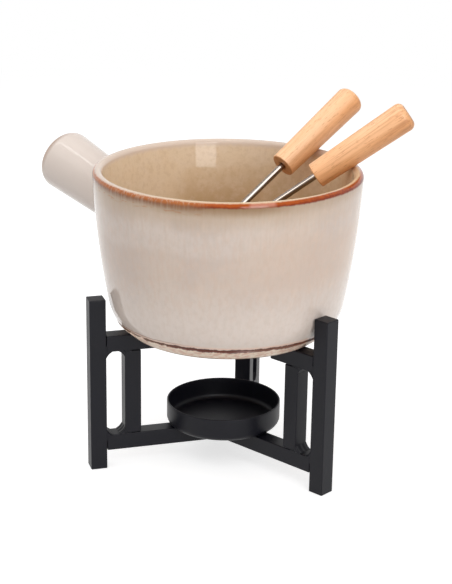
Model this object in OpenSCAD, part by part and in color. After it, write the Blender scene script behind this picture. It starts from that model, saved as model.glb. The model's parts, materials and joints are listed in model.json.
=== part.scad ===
// Fondue pot set: a stoneware pot with a stub handle stands on a welded stand of
// square steel bar, over a pressed burner tray. Forks with turned wooden handles
// lean on the pot's rim.
// Millimetres. The origin is on the stand's axis at table level, and one leg points to +Y.

/* [Stand] */
// Side of the square steel bar
bar = 10; // [8:0.5:11]
// Distance from the stand's axis to the middle of a post
post_reach = 79.9; // [79:0.1:90]
// Height of a post
post_h = 108.5; // [100:0.5:120]
// Height of the lower rails' undersides above the table
lower_rail_z = 11.8; // [5:0.1:20]
// Height of the upper rails' tops, where the pot stands
seat_z = 85.5; // [75:0.1:95]
// Distance from the axis to the free end of an upper rail
upper_rail_start = 42; // [30:0.5:48]
// Distance from the axis to the inner face of an upright
upright_start = 53.6; // [48:0.1:58]
// Chamfer along the bars' edges and round their sawn ends
bar_edge = 0.4; // [0.2:0.1:0.8]
// Length of a weld bead along each of the two bars that it joins
weld_leg = 3.6; // [2:0.1:4.5]
// How far the face of a weld bead is hollowed
weld_hollow = 0.45; // [0.1:0.05:0.6]

/* [Burner tray] */
// Outer diameter of the tray
tray_d = 70; // [60:1:90]
// Height of the tray
tray_h = 14.5; // [10:0.5:20]
// Thickness of the pressed sheet
tray_sheet = 1; // [0.6:0.1:1.5]
// Outer radius of the bend between floor and wall
tray_bend = 4; // [3:0.5:6]

/* [Pot] */
// Outer diameter at the rim
rim_d = 160; // [155:0.5:162]
// Height of the pot from its foot to the top of its rim
pot_h = 98.1; // [90:0.1:110]
// Thickness of the wall, which is also the thickness of the rounded lip
wall = 6; // [5:0.5:7]
// Outer radius where the wall turns in towards the foot
shoulder_r = 71.4; // [70:0.1:72]
// Height of that turn above the foot
shoulder_z = 19.5; // [17:0.5:24]
// How far the outer side of the wall bulges out from a straight taper
wall_bow = 1.3; // [0.5:0.1:2]
// How far its inner side bulges inwards, which thickens the wall halfway down
inner_bow = 1.5; // [0.5:0.1:2]
// Radius at the bottom of the groove above the foot
groove_r = 66.2; // [65:0.1:67]
// Height of the groove above the foot
groove_z = 7.9; // [7:0.1:9]
// Outer radius of the foot where it stands on the rails
foot_r = 58.8; // [57:0.1:60]
// Width of the flat ring that the foot stands on
foot_w = 5; // [4:0.5:7]
// Depth of the hollow under the foot
foot_hollow = 3; // [2:0.5:4]
// Height of the pot's inner floor above the foot
floor_z = 11; // [10:0.5:14]
// Inner radius of the turn between floor and wall
floor_turn = 16; // [12:0.5:20]
// The pot stands a little off the stand's axis: along X
pot_x = 1.3; // [0:0.1:1.5]
// and along Y
pot_y = -2.4; // [-2.5:0.1:0]

/* [Pot handle] */
// Direction that the handle points in
handle_turn = 150.9; // [130:0.5:170]
// Rise of the handle above level
handle_rise = 17.4; // [5:0.5:25]
// Height of the handle's axis above the foot, where it meets the wall
handle_z = 57; // [50:0.5:62]
// Radius of the handle beside the wall
handle_root_r = 16; // [12:0.5:17]
// Radius of the handle towards its end
handle_end_r = 19.3; // [15:0.5:20]
// Length of the handle from the middle of the wall
handle_l = 78; // [60:1:100]
// Rounding at the end of the handle
handle_round = 8.3; // [4:0.1:12]

/* [Forks] */
// Radius of a fork's shaft
shaft_r = 2; // [1.2:0.1:2]
// Length of a fork from the wood to the points of its tines
shaft_l = 131; // [110:0.5:131]
// Length of a wooden handle
grip_l = 65.8; // [60:0.5:80]
// Radius of a wooden handle at the shaft
grip_r1 = 7.8; // [6:0.1:8]
// Radius of a wooden handle at its outer end
grip_r2 = 8.95; // [8:0.05:10]
// Rounding at the outer end of a wooden handle
grip_round = 4; // [1:0.5:5]
// Depth of the hole for the shaft
grip_bore = 38; // [25:1:45]
// Distance between the middles of the tines
tine_gap = 9; // [7:0.5:10]
// Radius of a tine
tine_r = 1.1; // [0.8:0.1:1.3]
// Length of the straight part of a tine, with its point
tine_l = 24; // [16:1:30]
// Length of the point of a tine
tine_point = 6; // [4:0.5:8]
// Air left between a resting fork and the rim
rest_gap = 0.3; // [0.2:0.05:0.5]
// Where each fork crosses the rim, as an angle round the pot
fork_turn = [57.2, 20.1]; // [10:0.1:70]
// Direction that each fork's handle points in
fork_heading = [49.0, 13.4]; // [0:0.1:80]
// Rise of each fork above level
fork_rise = [34.1, 35.6]; // [30:0.1:60]
// Length of each wooden handle that reaches in past the middle of the rim
fork_inboard = [32.8, 29.8]; // [10:0.1:40]
// Turn of each fork about its own shaft: 90 lays the tines side by side
fork_roll = [90, 120]; // [0:5:180]

/* [Hidden] */
$fn = 96;
arc_steps = 12;
LEGS = [["back", 90], ["left", 210], ["right", 330]];

steel_black = [0.13, 0.13, 0.14];
glaze_cream = [0.82, 0.77, 0.71];
bright_steel = [0.75, 0.76, 0.78];
beech = [0.87, 0.67, 0.47];

post_inner = post_reach - bar / 2;
upright_outer = upright_start + bar;
lower_top = lower_rail_z + bar;
upper_bottom = seat_z - bar;

lip_r = wall / 2;
lip_ring_r = rim_d / 2 - lip_r;
lip_z = pot_h - lip_r;
tine_base = shaft_l - tine_l;

// Points on a circular arc, from angle a0 to angle a1.
function arc(centre, r, a0, a1, steps = arc_steps) =
    [for (i = [0 : steps])
        let (a = a0 + (a1 - a0) * i / steps)
        centre + r * [cos(a), sin(a)]];

// Points from a to b along a shallow arc that bulges by bow to the right of the way there.
function bowed(a, b, bow, steps = arc_steps) =
    let (along = b - a,
         chord = norm(along),
         right = [along.y, -along.x] / chord,
         r = (chord * chord / 4 + bow * bow) / (2 * bow),
         half = asin(chord / 2 / r),
         centre = (a + b) / 2 - right * (r - bow))
    [for (i = [0 : steps])
        let (t = -half + 2 * half * i / steps)
        centre + r * (cos(t) * right + sin(t) * along / chord)];

// ---- Stand ----

// Rectangle with cut corners; one side lies on the Y axis.
module cut_rectangle(w, h, c) {
    polygon([[c, 0], [w - c, 0], [w, c], [w, h - c], [w - c, h], [c, h], [0, h - c], [0, c]]);
}

// Bar stock with every edge chamfered: x from 0, y either side of 0, z from 0.
module stock(size, c = bar_edge) {
    intersection() {
        translate([0, -size.y / 2, 0]) linear_extrude(size.z) cut_rectangle(size.x, size.y, c);
        translate([0, size.y / 2, 0]) rotate([90, 0, 0])
            linear_extrude(size.y) cut_rectangle(size.x, size.z, c);
        translate([0, -size.y / 2, 0]) rotate([90, 0, 90])
            linear_extrude(size.x) cut_rectangle(size.y, size.z, c);
    }
}

module post() {
    color(steel_black) translate([post_inner, 0, 0]) stock([bar, bar, post_h]);
}

module upper_rail() {
    color(steel_black) translate([upper_rail_start, 0, upper_bottom])
        stock([post_inner - upper_rail_start, bar, bar]);
}

// The inner end is sawn to a point of 120 degrees, so that the rails meet on the axis.
module lower_rail() {
    reach = bar * tan(60);
    color(steel_black) intersection() {
        translate([-bar, 0, lower_rail_z]) stock([post_inner + bar, bar, bar]);
        union() {
            linear_extrude(post_h) polygon([[0, 0], [bar, -reach], [bar, reach]]);
            translate([bar, -bar, 0]) cube([post_inner, 2 * bar, post_h]);
        }
    }
}

module upright() {
    color(steel_black) translate([upright_start, 0, lower_top])
        stock([bar, bar, upper_bottom - lower_top]);
}

// A bead in a corner between +X and +Z, with its face hollowed between the two bars.
module bead() {
    rotate([90, 0, 0]) translate([0, 0, -bar / 2]) linear_extrude(bar)
        polygon(concat([[0, 0]], bowed([weld_leg, 0], [0, weld_leg], -weld_hollow, 6)));
}

// The four beads in the corners of a leg's window.
module welds() {
    color(steel_black) {
        translate([upright_outer, 0, lower_top]) bead();
        translate([post_inner, 0, lower_top]) mirror([1, 0, 0]) bead();
        translate([upright_outer, 0, upper_bottom]) mirror([0, 0, 1]) bead();
        translate([post_inner, 0, upper_bottom]) mirror([1, 0, 0]) mirror([0, 0, 1]) bead();
    }
}

// ---- Burner tray ----

module burner_tray() {
    r = tray_d / 2;
    edge = tray_sheet / 2;
    color(steel_black) translate([0, 0, lower_top]) rotate_extrude()
        polygon(concat(
            [[0, 0]],
            arc([r - tray_bend, tray_bend], tray_bend, -90, 0, 8),
            arc([r - edge, tray_h - edge], edge, 0, 180, 8),
            arc([r - tray_bend, tray_bend], tray_bend - tray_sheet, 0, -90, 8),
            [[0, tray_sheet]]
        ));
}

// ---- Pot ----

// Outer side of the wall, from the shoulder up to the lip.
outer_wall = bowed([shoulder_r, shoulder_z], [rim_d / 2, lip_z], wall_bow, 16);
// Inner side of the wall, from the lip down to the turn into the floor.
inner_wall = bowed([rim_d / 2 - wall, lip_z], [shoulder_r - wall, floor_z + floor_turn],
    inner_bow, 16);

// The shoulder arc leaves the wall smoothly and ends at the top of the groove.
wall_dir = (outer_wall[1] - outer_wall[0]) / norm(outer_wall[1] - outer_wall[0]);
wall_out = [wall_dir.y, -wall_dir.x];
groove_top = [groove_r + 1, groove_z + 0.6];
to_groove = groove_top - outer_wall[0];
shoulder_arc_r = -(to_groove * to_groove) / (2 * (to_groove * wall_out));
shoulder_centre = outer_wall[0] - shoulder_arc_r * wall_out;
shoulder_a0 = atan2(groove_top.y - shoulder_centre.y, groove_top.x - shoulder_centre.x);
shoulder_a1 = atan2(wall_out.y, wall_out.x);

module pot_solid() {
    inner_foot = foot_r - foot_w;
    rotate_extrude() polygon(concat(
        [[0, foot_hollow], [inner_foot - foot_hollow, foot_hollow], [inner_foot, 0]],
        arc([foot_r - 1, 1], 1, -90, -35, 4),
        [[groove_r + 0.6, groove_z - 1], [groove_r, groove_z]],
        arc(shoulder_centre, shoulder_arc_r, shoulder_a0, shoulder_a1, 8),
        [for (i = [1 : len(outer_wall) - 1]) outer_wall[i]],
        arc([lip_ring_r, lip_z], lip_r, 0, 90, 8),
        [[0, pot_h]]
    ));
}

module pot_cavity() {
    turn_r = shoulder_r - wall - floor_turn;
    rotate_extrude() polygon(concat(
        [[0, pot_h + 1], [lip_ring_r, pot_h + 1]],
        arc([lip_ring_r, lip_z], lip_r, 90, 180, 8),
        [for (i = [1 : len(inner_wall) - 1]) inner_wall[i]],
        arc([turn_r, floor_z + floor_turn], floor_turn, 0, -90, 10),
        [[0, floor_z]]
    ));
}

module pot_handle() {
    end_r = handle_end_r - handle_round;
    translate([0, 0, handle_z]) rotate([0, 0, handle_turn]) translate([rim_d / 2 - wall, 0, 0])
        rotate([0, 90 - handle_rise, 0]) rotate_extrude() polygon(concat(
            [[0, -wall], [handle_root_r, -wall], [handle_root_r, 0]],
            arc([end_r, handle_l - handle_round], handle_round, 4, 90, 10),
            [[0, handle_l]]
        ));
}

module pot_body() {
    color(glaze_cream) translate([pot_x, pot_y, seat_z]) difference() {
        union() {
            pot_solid();
            pot_handle();
        }
        pot_cavity();
    }
}

// ---- Forks ----

// Angle between a fork's heading and the spoke of the rim that it crosses.
function fork_skew(i) = fork_heading[i] - fork_turn[i];

// Height of a fork's axis over the middle of the lip, so that its handle clears the lip by rest_gap.
function fork_over_lip(i) =
    let (touch = fork_inboard[i] - (lip_r + grip_r1) * sin(fork_rise[i]),
         grip_r = grip_r1 + (grip_r2 - grip_r1) * touch / grip_l,
         level = cos(fork_rise[i]))
    (lip_r + grip_r + rest_gap) * sqrt(1 - pow(level * sin(fork_skew(i)), 2))
        / (level * cos(fork_skew(i)));

// Puts a fork in its resting place. Its own +Z runs from the tines to the handle, and
// its own zero is where the wood starts.
module resting(i) {
    translate([pot_x, pot_y, seat_z + lip_z + fork_over_lip(i)])
        rotate([0, 0, fork_turn[i]]) translate([lip_ring_r, 0, 0])
            rotate([0, 0, fork_skew(i)]) rotate([0, 90 - fork_rise[i], 0])
                translate([0, 0, -fork_inboard[i]]) children();
}

module tine() {
    translate([0, 0, -shaft_l]) cylinder(h = tine_point, r1 = 0.3, r2 = tine_r, $fn = 24);
    translate([0, 0, tine_point - shaft_l]) cylinder(h = tine_l - tine_point, r = tine_r, $fn = 24);
}

// A round shaft with a bow of thinner wire across its end, whose two arms are the tines.
module fork_shaft(i) {
    tip = tine_gap / 2;
    color(bright_steel) resting(i) rotate([0, 0, fork_roll[i]]) {
        translate([0, 0, tip - tine_base])
            cylinder(h = tine_base - tip + grip_bore, r = shaft_r, $fn = 32);
        translate([0, 0, -tine_base]) rotate([90, 0, 0])
            rotate_extrude(angle = 180) translate([tip, 0]) circle(r = tine_r, $fn = 24);
        for (side = [-1, 1]) translate([side * tip, 0, 0]) tine();
    }
}

// Turned handle: eased small end with a countersunk hole, slight taper, rounded outer end.
module fork_handle(i) {
    ease = 0.7;
    sink_r = shaft_r + 0.6;
    sink_l = 3;
    color(beech) resting(i) rotate_extrude() polygon(concat(
        [[shaft_r, sink_l], [sink_r, sink_l], [sink_r, 0], [grip_r1 - ease, 0], [grip_r1, ease]],
        arc([grip_r2 - grip_round, grip_l - grip_round], grip_round, 2, 90, 10),
        [[0, grip_l], [0, grip_bore], [shaft_r, grip_bore]]
    ));
}

for (leg = LEGS) rotate([0, 0, leg[1]]) {
    post();
    upper_rail();
    lower_rail();
    upright();
    welds();
}
burner_tray();
pot_body();
for (i = [0, 1]) {
    fork_shaft(i);
    fork_handle(i);
}
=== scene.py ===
# %% [markdown]
# # Dressing a fondue pot set
# The set is a stoneware pot on a welded stand of square steel bar, with a burner tray
# under it and two forks leaning on its rim. Its construction exists already, as a packed
# model that gives every size and place.
# This lesson adds what a construction model leaves out: eased edges, weld beads, glaze,
# powder coat, wood grain, and a studio to see them in. The model is loaded first and
# nothing in it is moved. Each new piece rides on one of its bodies, so that the finished
# set still lifts and pulls apart.

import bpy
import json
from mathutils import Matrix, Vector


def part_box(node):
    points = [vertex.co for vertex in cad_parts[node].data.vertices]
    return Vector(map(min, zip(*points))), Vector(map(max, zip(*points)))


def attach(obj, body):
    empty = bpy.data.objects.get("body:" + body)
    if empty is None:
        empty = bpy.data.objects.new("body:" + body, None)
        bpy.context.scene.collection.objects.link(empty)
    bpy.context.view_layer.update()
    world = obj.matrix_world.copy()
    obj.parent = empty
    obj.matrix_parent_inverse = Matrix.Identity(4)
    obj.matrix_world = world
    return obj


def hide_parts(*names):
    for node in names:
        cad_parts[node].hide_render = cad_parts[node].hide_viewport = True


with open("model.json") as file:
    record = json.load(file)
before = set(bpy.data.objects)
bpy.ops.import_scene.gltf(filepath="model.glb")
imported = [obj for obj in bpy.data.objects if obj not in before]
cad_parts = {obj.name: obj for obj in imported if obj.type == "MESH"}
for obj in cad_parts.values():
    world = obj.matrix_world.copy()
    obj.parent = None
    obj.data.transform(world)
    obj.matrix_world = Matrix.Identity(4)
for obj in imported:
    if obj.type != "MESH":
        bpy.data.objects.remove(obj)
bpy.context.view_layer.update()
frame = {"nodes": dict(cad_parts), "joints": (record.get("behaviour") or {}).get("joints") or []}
print("nodes:", len(frame["nodes"]))

# %% [markdown]
# ## Units and the camera
# Blender counts in metres, and this object is measured in millimetres, so one name turns
# the second into the first.
# A product is best shown through a long lens from a little above, which keeps upright
# edges nearly parallel and still looks into the pot. The camera is placed before anything
# is made, because every finish is judged through it. Its angles are set one after the
# other, as on a tripod: turned round, tilted up from straight down, and rolled a little.

# %% Units
import bmesh
import bpy
import json
import math
from mathutils import Matrix, Vector, noise

MM = 0.001
studio = bpy.context.scene
studio.view_settings.view_transform = "Standard"

# %% Camera
LENS = 96.55
TRIPOD_AT = (0.2024, -0.8773, 0.4072)
TURNED_ROUND = math.radians(12.955)
TILTED_UP = math.radians(71.49)
ROLLED = math.radians(0.88)

lens = bpy.data.cameras.new("camera")
lens.lens = LENS
camera = bpy.data.objects.new("camera", lens)
camera.location = TRIPOD_AT
aim_round = Matrix.Rotation(TURNED_ROUND, 4, "Z")
aim_up = Matrix.Rotation(TILTED_UP, 4, "X")
roll = Matrix.Rotation(ROLLED, 4, "Z")
camera.rotation_euler = (aim_round @ aim_up @ roll).to_euler()
studio.collection.objects.link(camera)
studio.camera = camera
print("camera stands", round(camera.location.length, 3), "m from the table's middle")

# %% [markdown]
# ## Turning points and faces into a piece
# Every piece goes the same way from numbers to an object: a mesh, outward normals, smooth
# shading, a finish, and a body to ride on.
# A finish has to follow its piece. The grain runs along a fork and the glaze runs down a
# pot, whichever way they lean. So each point also keeps its place in the piece's own
# frame, as an attribute named "own", before the piece is set down where it belongs. A
# piece that stands for a node of the construction model takes that node out of sight.

# %% A piece from points and faces
def set_piece(name, points, faces, finish, body, stands_for=(), place=None):
    """Makes a piece in its own frame, sets it down at place, and lets it ride on a body."""
    mesh = bpy.data.meshes.new(name)
    mesh.from_pydata([tuple(point) for point in points], [], faces)
    own = mesh.attributes.new("own", "FLOAT_VECTOR", "POINT")
    own.data.foreach_set("vector", [number for point in points for number in point])
    mesh.polygons.foreach_set("use_smooth", [True] * len(mesh.polygons))
    outward = bmesh.new()
    outward.from_mesh(mesh)
    bmesh.ops.recalc_face_normals(outward, faces=outward.faces)
    outward.to_mesh(mesh)
    outward.free()
    mesh.transform(place or Matrix())
    mesh.materials.append(finish)
    made = bpy.data.objects.new(name, mesh)
    studio.collection.objects.link(made)
    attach(made, body)
    if stands_for:
        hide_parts(*stands_for)
    return made


# %% [markdown]
# ## Mixing a finish
# A finish is a tree of nodes that ends in one shader. Built by hand, the tree hides the
# recipe behind its wiring, so a small class keeps the wiring out of sight: each call adds
# one node and hands back its output, and the recipes below read as sums and blends.
# Colours are noted as they show on a screen, and a shader wants them as linear light.

# %% Screen colours
def colour(red, green, blue):
    """A screen colour, 0 to 255, as the linear values that a shader takes."""
    def linear(value):
        share = value / 255
        return share / 12.92 if share <= 0.04045 else ((share + 0.055) / 1.055) ** 2.4
    return (linear(red), linear(green), linear(blue), 1.0)


print("half grey on a screen is", round(colour(128, 128, 128)[0], 3), "of white light")

# %% A class for adding nodes
class Recipe:
    """A tree of nodes that is being built. Each call adds a node and gives its output."""

    def __init__(self, tree):
        self.tree = tree

    def add(self, kind, inputs, output=0, **settings):
        """A node of a kind, with its settings, and with its inputs wired or set."""
        node = self.tree.nodes.new(kind)
        for name, value in settings.items():
            setattr(node, name, value)
        for socket, value in inputs.items():
            if isinstance(value, bpy.types.NodeSocket):
                self.tree.links.new(value, node.inputs[socket])
            else:
                node.inputs[socket].default_value = value
        return node.outputs[output]

    def math(self, operation, first, second=0.0):
        return self.add("ShaderNodeMath", {0: first, 1: second}, operation=operation)

    def share(self, *masks):
        """Masks and numbers multiplied together."""
        product = masks[0]
        for mask in masks[1:]:
            product = self.math("MULTIPLY", product, mask)
        return product

    def part(self, vector, axis):
        """A vector's X, Y or Z, for axis 0, 1 or 2."""
        return self.add("ShaderNodeSeparateXYZ", {0: vector}, axis)

    def fade(self, value, nothing, full):
        """0 at one value and 1 at the other, with a soft start and end."""
        inputs = {"Value": value, "From Min": nothing, "From Max": full}
        return self.add("ShaderNodeMapRange", inputs, interpolation_type="SMOOTHSTEP")

    def between(self, share, low, high):
        """The value low where share is 0, and high where it is 1."""
        return self.add("ShaderNodeMapRange", {"Value": share, "To Min": low, "To Max": high})


print("a recipe can:", ", ".join(call for call in vars(Recipe) if not call.startswith("_")))

# %% [markdown]
# ## What every finish shares
# A material's recipe can also read the piece that it lies on: where a point is in the
# piece's own frame, which way it lies round the axis, and any number that was kept with
# it. Most finishes are noises of several sizes laid over each other. A noise has about one
# patch to a unit, so a place in metres times 1000 gives patches of about a millimetre. A
# smaller factor along one axis draws them out into grain or streaks.
# A value that is the same all over goes straight onto the shader's socket.

# %% A class for mixing finishes
class Finish(Recipe):
    """The recipe of a material, with the piece's own readings to mix from."""

    def __init__(self, name):
        self.material = bpy.data.materials.new(name)
        self.material.use_nodes = True
        super().__init__(self.material.node_tree)
        self.shader = self.tree.nodes["Principled BSDF"]

    def own(self, scale=(1, 1, 1), shift=(0, 0, 0)):
        """The place in the piece's own frame, in metres, times scale, plus shift."""
        place = self.add("ShaderNodeAttribute", {}, "Vector", attribute_name="own")
        scales = scale if isinstance(scale, tuple) else (scale, scale, scale)
        inputs = {0: place, 1: scales, 2: shift}
        return self.add("ShaderNodeVectorMath", inputs, operation="MULTIPLY_ADD")

    def reading(self, name):
        """A number that was kept with each point of the piece."""
        return self.add("ShaderNodeAttribute", {}, "Fac", attribute_name=name)

    def noise(self, scale, shift=(0, 0, 0), detail=2.0, roughness=0.5):
        """Soft patches between 0 and 1, about scale of them to a metre. The scale is one
        number, or one for each axis, and the shift gives other patches of the same kind."""
        inputs = {"Vector": self.own(scale, shift), "Scale": 1.0}
        inputs |= {"Detail": detail, "Roughness": roughness}
        return self.add("ShaderNodeTexNoise", inputs)

    def blend(self, share, first, second):
        """The first colour where share is 0, and the second where it is 1."""
        inputs = {0: share, 6: first, 7: second}
        return self.add("ShaderNodeMix", inputs, 2, data_type="RGBA")

    def veil(self, surface, over, noise, nothing, full, strength):
        """The surface with a colour thinly over it, where a noise is high: nothing of it at
        one value of the noise, and as much as strength says at the other."""
        return self.blend(self.share(self.fade(noise, nothing, full), strength), surface, over)

    def towards(self, degrees):
        """1 on the side that lies in a direction round the piece's own Z, and -1 behind."""
        flat = self.add("ShaderNodeVectorMath", {0: self.own((1, 1, 0))}, operation="NORMALIZE")
        heading = (math.cos(math.radians(degrees)), math.sin(math.radians(degrees)), 0)
        inputs = {0: flat, 1: heading}
        return self.add("ShaderNodeVectorMath", inputs, "Value", operation="DOT_PRODUCT")

    def even(self, socket, value):
        """Gives the shader a value that is the same all over."""
        self.shader.inputs[socket].default_value = value

    def wire(self, socket, value):
        """Gives the shader a value that changes from place to place."""
        self.tree.links.new(value, self.shader.inputs[socket])

    def bump(self, height, depth):
        """Raises the surface by height times depth, in metres."""
        inputs = {"Height": height, "Distance": depth, "Strength": 1.0}
        self.wire("Normal", self.add("ShaderNodeBump", inputs))


print("a finish also can:", ", ".join(call for call in vars(Finish) if not call.startswith("_")))

# %% [markdown]
# ## Powder coat
# The stand and tray are sprayed with black powder and baked. The coat comes out satin and
# slightly pebbled, like very fine orange peel, and it is never quite black.
# The pebbles are too small to model, so a noise of half a millimetre tips the normals,
# and a slower one shifts the sheen from place to place.

# %% Powder coat
COAT_DARK = colour(9, 9, 17)
COAT_LIGHT = colour(15, 15, 24)
COAT_ROUGHNESS = (0.36, 0.48)
COAT_GLOSS = 0.24
PEBBLE_DEPTH = 0.03 * MM


def powder_coat():
    mix = Finish("black powder coat")
    pebbles = mix.noise(1900)
    drift = mix.noise(60, detail=3.0)
    mix.wire("Base Color", mix.blend(drift, COAT_DARK, COAT_LIGHT))
    mix.wire("Roughness", mix.between(drift, *COAT_ROUGHNESS))
    mix.even("Specular IOR Level", COAT_GLOSS)
    mix.bump(pebbles, PEBBLE_DEPTH)
    return mix.material


coat = powder_coat()
print("finish:", coat.name)

# %% [markdown]
# ## The stand's bars
# Each leg is four lengths of square bar: a post, an upper and a lower rail, and an upright
# between them. They are sawn and butted together, so every bar keeps its own edges.
# Real bar has edges rounded by drawing and by the coat over them, and the thin highlight
# along such an edge is what makes steel look like steel. A bevel of three steps gives
# that, and weighted normals keep the wide faces flat between the rounded edges. The back
# leg points along +Y, so its nodes give the sizes, and the three legs are turned copies.

# %% Measure the back leg
def span_outwards(node):
    """Where a node of the back leg starts and ends, outwards and upwards."""
    low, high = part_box(node)
    return low.y, high.y, low.z, high.z


post_in, post_out, table, post_top = span_outwards("post_back")
rail_start, _, seat_low, seat = span_outwards("upper_rail_back")
brace_in, brace_out, brace_low, brace_top = span_outwards("upright_back")
lower_rail_low = span_outwards("lower_rail_back")[2]
half_bar = (post_out - post_in) / 2
LEGS = {"back": 90, "left": 210, "right": 330}
print("bar", round(2 * half_bar / MM, 2), "mm square; posts", round(post_top / MM, 1), "mm")

# %% A prism with eased edges
EDGE_STEPS = 3


def eased_prism(outline, low, high, ease):
    """An upright prism over an outline, with all of its edges rounded."""
    shape = bmesh.new()
    foot = [shape.verts.new((x, y, low)) for x, y in outline]
    head = [shape.verts.new((x, y, high)) for x, y in outline]
    shape.faces.new(foot)
    shape.faces.new(head)
    for here in range(len(outline)):
        after = (here + 1) % len(outline)
        shape.faces.new((foot[here], foot[after], head[after], head[here]))
    bmesh.ops.recalc_face_normals(shape, faces=shape.faces)
    bmesh.ops.bevel(shape, geom=shape.edges[:], offset=ease, segments=EDGE_STEPS,
                    profile=0.5, affect="EDGES")
    shape.verts.index_update()
    points = [vert.co.copy() for vert in shape.verts]
    faces = [[vert.index for vert in face.verts] for face in shape.faces]
    shape.free()
    return points, faces


SQUARE = [(-0.5, -0.5), (0.5, -0.5), (0.5, 0.5), (-0.5, 0.5)]
print("a cube with eased edges has", len(eased_prism(SQUARE, -0.5, 0.5, 0.1)[1]), "faces")

# %% Make the bars
BAR_EDGE = 0.5 * MM
FIT_UP = 0.3 * MM
HALF_POINT = math.radians(60)


def square_outline(start, end):
    return [(start, -half_bar), (end, -half_bar), (end, half_bar), (start, half_bar)]


# The lower rails meet on the stand's axis, so their inner ends are sawn to 120 degrees.
point_long = half_bar / math.tan(HALF_POINT)
butt = post_in - FIT_UP
pointed = [(0, 0), (point_long, -half_bar), (butt, -half_bar), (butt, half_bar),
           (point_long, half_bar)]
BARS = {
    "post": (square_outline(post_in, post_out), table, post_top),
    "upper_rail": (square_outline(rail_start, butt), seat_low, seat),
    "lower_rail": (pointed, lower_rail_low, brace_low),
    "upright": (square_outline(brace_in, brace_out), brace_low + FIT_UP, brace_top - FIT_UP),
}
for leg, turn in LEGS.items():
    for part, (outline, low, high) in BARS.items():
        points, faces = eased_prism(outline, low, high, BAR_EDGE)
        bar = set_piece(f"{leg}_{part}", points, faces, coat, "stand",
                        [f"{part}_{leg}"], Matrix.Rotation(math.radians(turn), 4, "Z"))
        bar.modifiers.new("flat faces", "WEIGHTED_NORMAL")
print("bars:", len(LEGS) * len(BARS))

# %% [markdown]
# ## Weld beads
# The bars are welded in the corners of each leg's window, and the sides are then ground
# flush. A bead is a small triangle in section with a hollow face, and along its length it
# keeps the ripples of the weld pool. The grinding also fills the first few millimetres of
# the seam that runs on from the corner.
# A bead is lofted: one section is repeated across the bar, a little larger or smaller each
# time, and the sections are joined. The lower corners are rougher than the upper ones.

# %% Shape a bead
BEAD_LEG = 3.6 * MM
BEAD_HOLLOW = 0.45 * MM
BEAD_SINK = 0.5 * MM
BEAD_STEPS = 18
BEAD_FACE_STEPS = 6
SLOW_RIPPLE = 9
QUICK_RIPPLE = 23
QUICK_SHARE = 0.6
GRIND_GAP = 0.02 * MM


def bead(rough, phase):
    """A bead between +X and +Z, across Y: closed sections from one side to the other."""
    points = []
    for step in range(BEAD_STEPS + 1):
        across = -1 + 2 * step / BEAD_STEPS
        ripple = math.sin(SLOW_RIPPLE * across + phase)
        ripple += QUICK_SHARE * math.sin(QUICK_RIPPLE * across + 2 * phase)
        leg_length = BEAD_LEG * (1 + rough * ripple)
        hollow = BEAD_HOLLOW * (1 - 2 * rough * ripple)
        y = across * (half_bar - GRIND_GAP)
        points.append((-BEAD_SINK, y, -BEAD_SINK))
        points.append((leg_length, y, -BEAD_SINK))
        for side in range(BEAD_FACE_STEPS + 1):
            share = side / BEAD_FACE_STEPS
            # The face sags most in its middle, and square to itself.
            dip = 4 * hollow * share * (1 - share) * math.sqrt(0.5)
            points.append((leg_length * (1 - share) - dip, y, leg_length * share - dip))
        points.append((-BEAD_SINK, y, leg_length))
    section = BEAD_FACE_STEPS + 4
    faces = [list(range(section)), [BEAD_STEPS * section + i for i in range(section)]]
    for step in range(BEAD_STEPS):
        for i in range(section):
            j = (i + 1) % section
            low, high = step * section, (step + 1) * section
            faces.append([low + i, low + j, high + j, high + i])
    return points, faces


print("a bead has", len(bead(0.05, 0)[0]), "points")

# %% Shape a ground seam
SEAM_LENGTH = 4.0 * MM
SEAM_WIDTH = 0.7 * MM
SEAM_DEPTH = 0.4 * MM
SEAM_EASE = 0.04


def seam_fill(way, side):
    """The ground weld over the seam: a thin slip, just proud of one side of the bars. It
    starts as a cube with eased edges, which is stretched to the slip's sizes."""
    out, up = way
    size = Vector((SEAM_LENGTH if out else SEAM_WIDTH, SEAM_DEPTH,
                   SEAM_LENGTH if up else SEAM_WIDTH))
    middle = Vector((out * SEAM_LENGTH / 2, side * (half_bar + GRIND_GAP - SEAM_DEPTH / 2),
                     up * SEAM_LENGTH / 2))
    points, faces = eased_prism(SQUARE, -0.5, 0.5, SEAM_EASE)
    return [point * size + middle for point in points], faces


def joined(parts):
    """Several meshes of points and faces as one."""
    points, faces = [], []
    for more_points, more_faces in parts:
        faces += [[index + len(points) for index in face] for face in more_faces]
        points += more_points
    return points, faces


print("a ground seam has", len(seam_fill((1, 0), 1)[0]), "points")

# %% Make the weld beads
# Each corner of the window: where it is outwards and up, which way the bead opens
# outwards and up, which way the seam runs on from it, and how rough the bead is.
CORNERS = [
    (brace_out, brace_low, 1, 1, (-1, 0), 0.05),
    (post_in, brace_low, -1, 1, (0, -1), 0.05),
    (brace_out, seat_low, 1, -1, (-1, 0), 0.015),
    (post_in, seat_low, -1, -1, (0, -1), 0.015),
]
for leg, turn in LEGS.items():
    beads = []
    for number, (out, up, open_out, open_up, seam, rough) in enumerate(CORNERS):
        corner = [bead(rough, number + turn)]
        corner += [seam_fill(seam, side) for side in (-1, 1)]
        points, faces = joined(corner)
        turned = [(out + open_out * x, y, up + open_up * z) for x, y, z in points]
        beads.append((turned, faces))
    points, faces = joined(beads)
    set_piece(f"{leg}_weld_beads", points, faces, coat, "stand",
              [f"welds_{leg}"], Matrix.Rotation(math.radians(turn), 4, "Z"))
print("weld beads:", len(LEGS) * len(CORNERS))

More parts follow.
